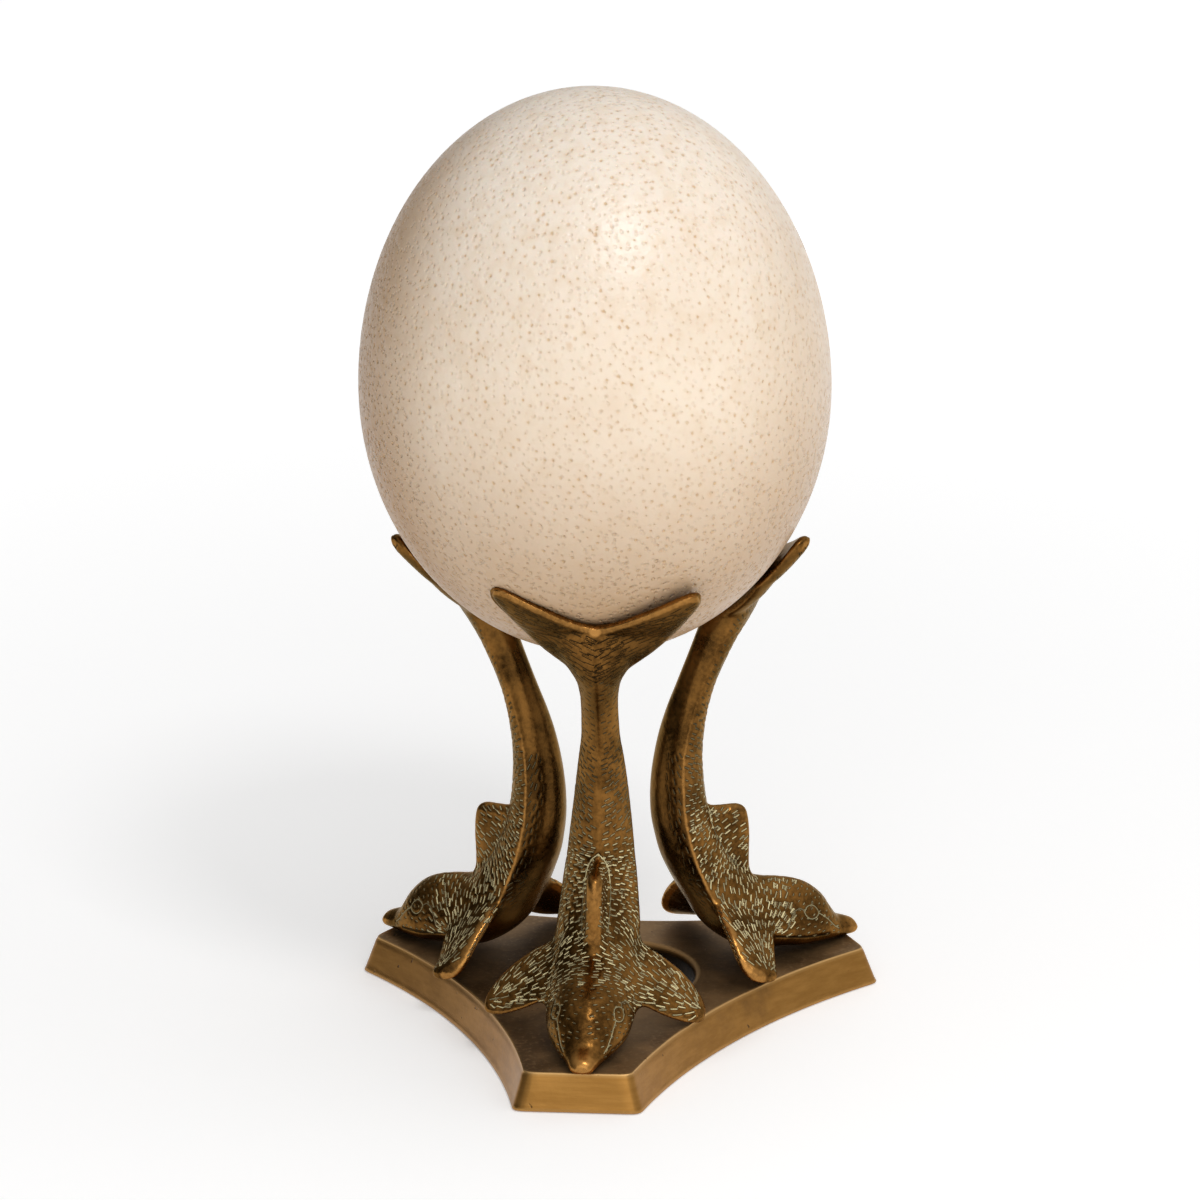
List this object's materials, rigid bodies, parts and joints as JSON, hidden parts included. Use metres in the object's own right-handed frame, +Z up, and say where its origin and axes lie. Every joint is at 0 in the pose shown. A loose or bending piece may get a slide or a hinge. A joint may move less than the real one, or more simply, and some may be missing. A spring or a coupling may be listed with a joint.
{
  "type": "ostrich egg on a bronze dolphin stand",
  "caption": "Ivory ostrich egg standing blunt end up in the upturned tail flukes of bronze dolphins on a star-shaped bronze base with a hole through its middle.",
  "frame": {"origin": "on the surface that the base stands on, under the middle of the whole object's box; the stand's own axis is 5.75 mm behind it, towards +Y", "axes": "+Z up the egg's long axis, from the base's underside to the egg's blunt end; -Y along the arm that carries dolphin_front; +X towards the arm that carries dolphin_right"},
  "size_m": [0.148, 0.1397, 0.2628],
  "materials": {
    "egg_shell": "satin",
    "plate_bronze": "satin",
    "dolphin_bronze": "patinated"
  },
  "bodies": {
    "root": {"egg": "egg_shell", "base_plate": "plate_bronze", "dolphin_front": "dolphin_bronze", "dolphin_right": "dolphin_bronze", "dolphin_left": "dolphin_bronze"}
  },
  "joints": []
}
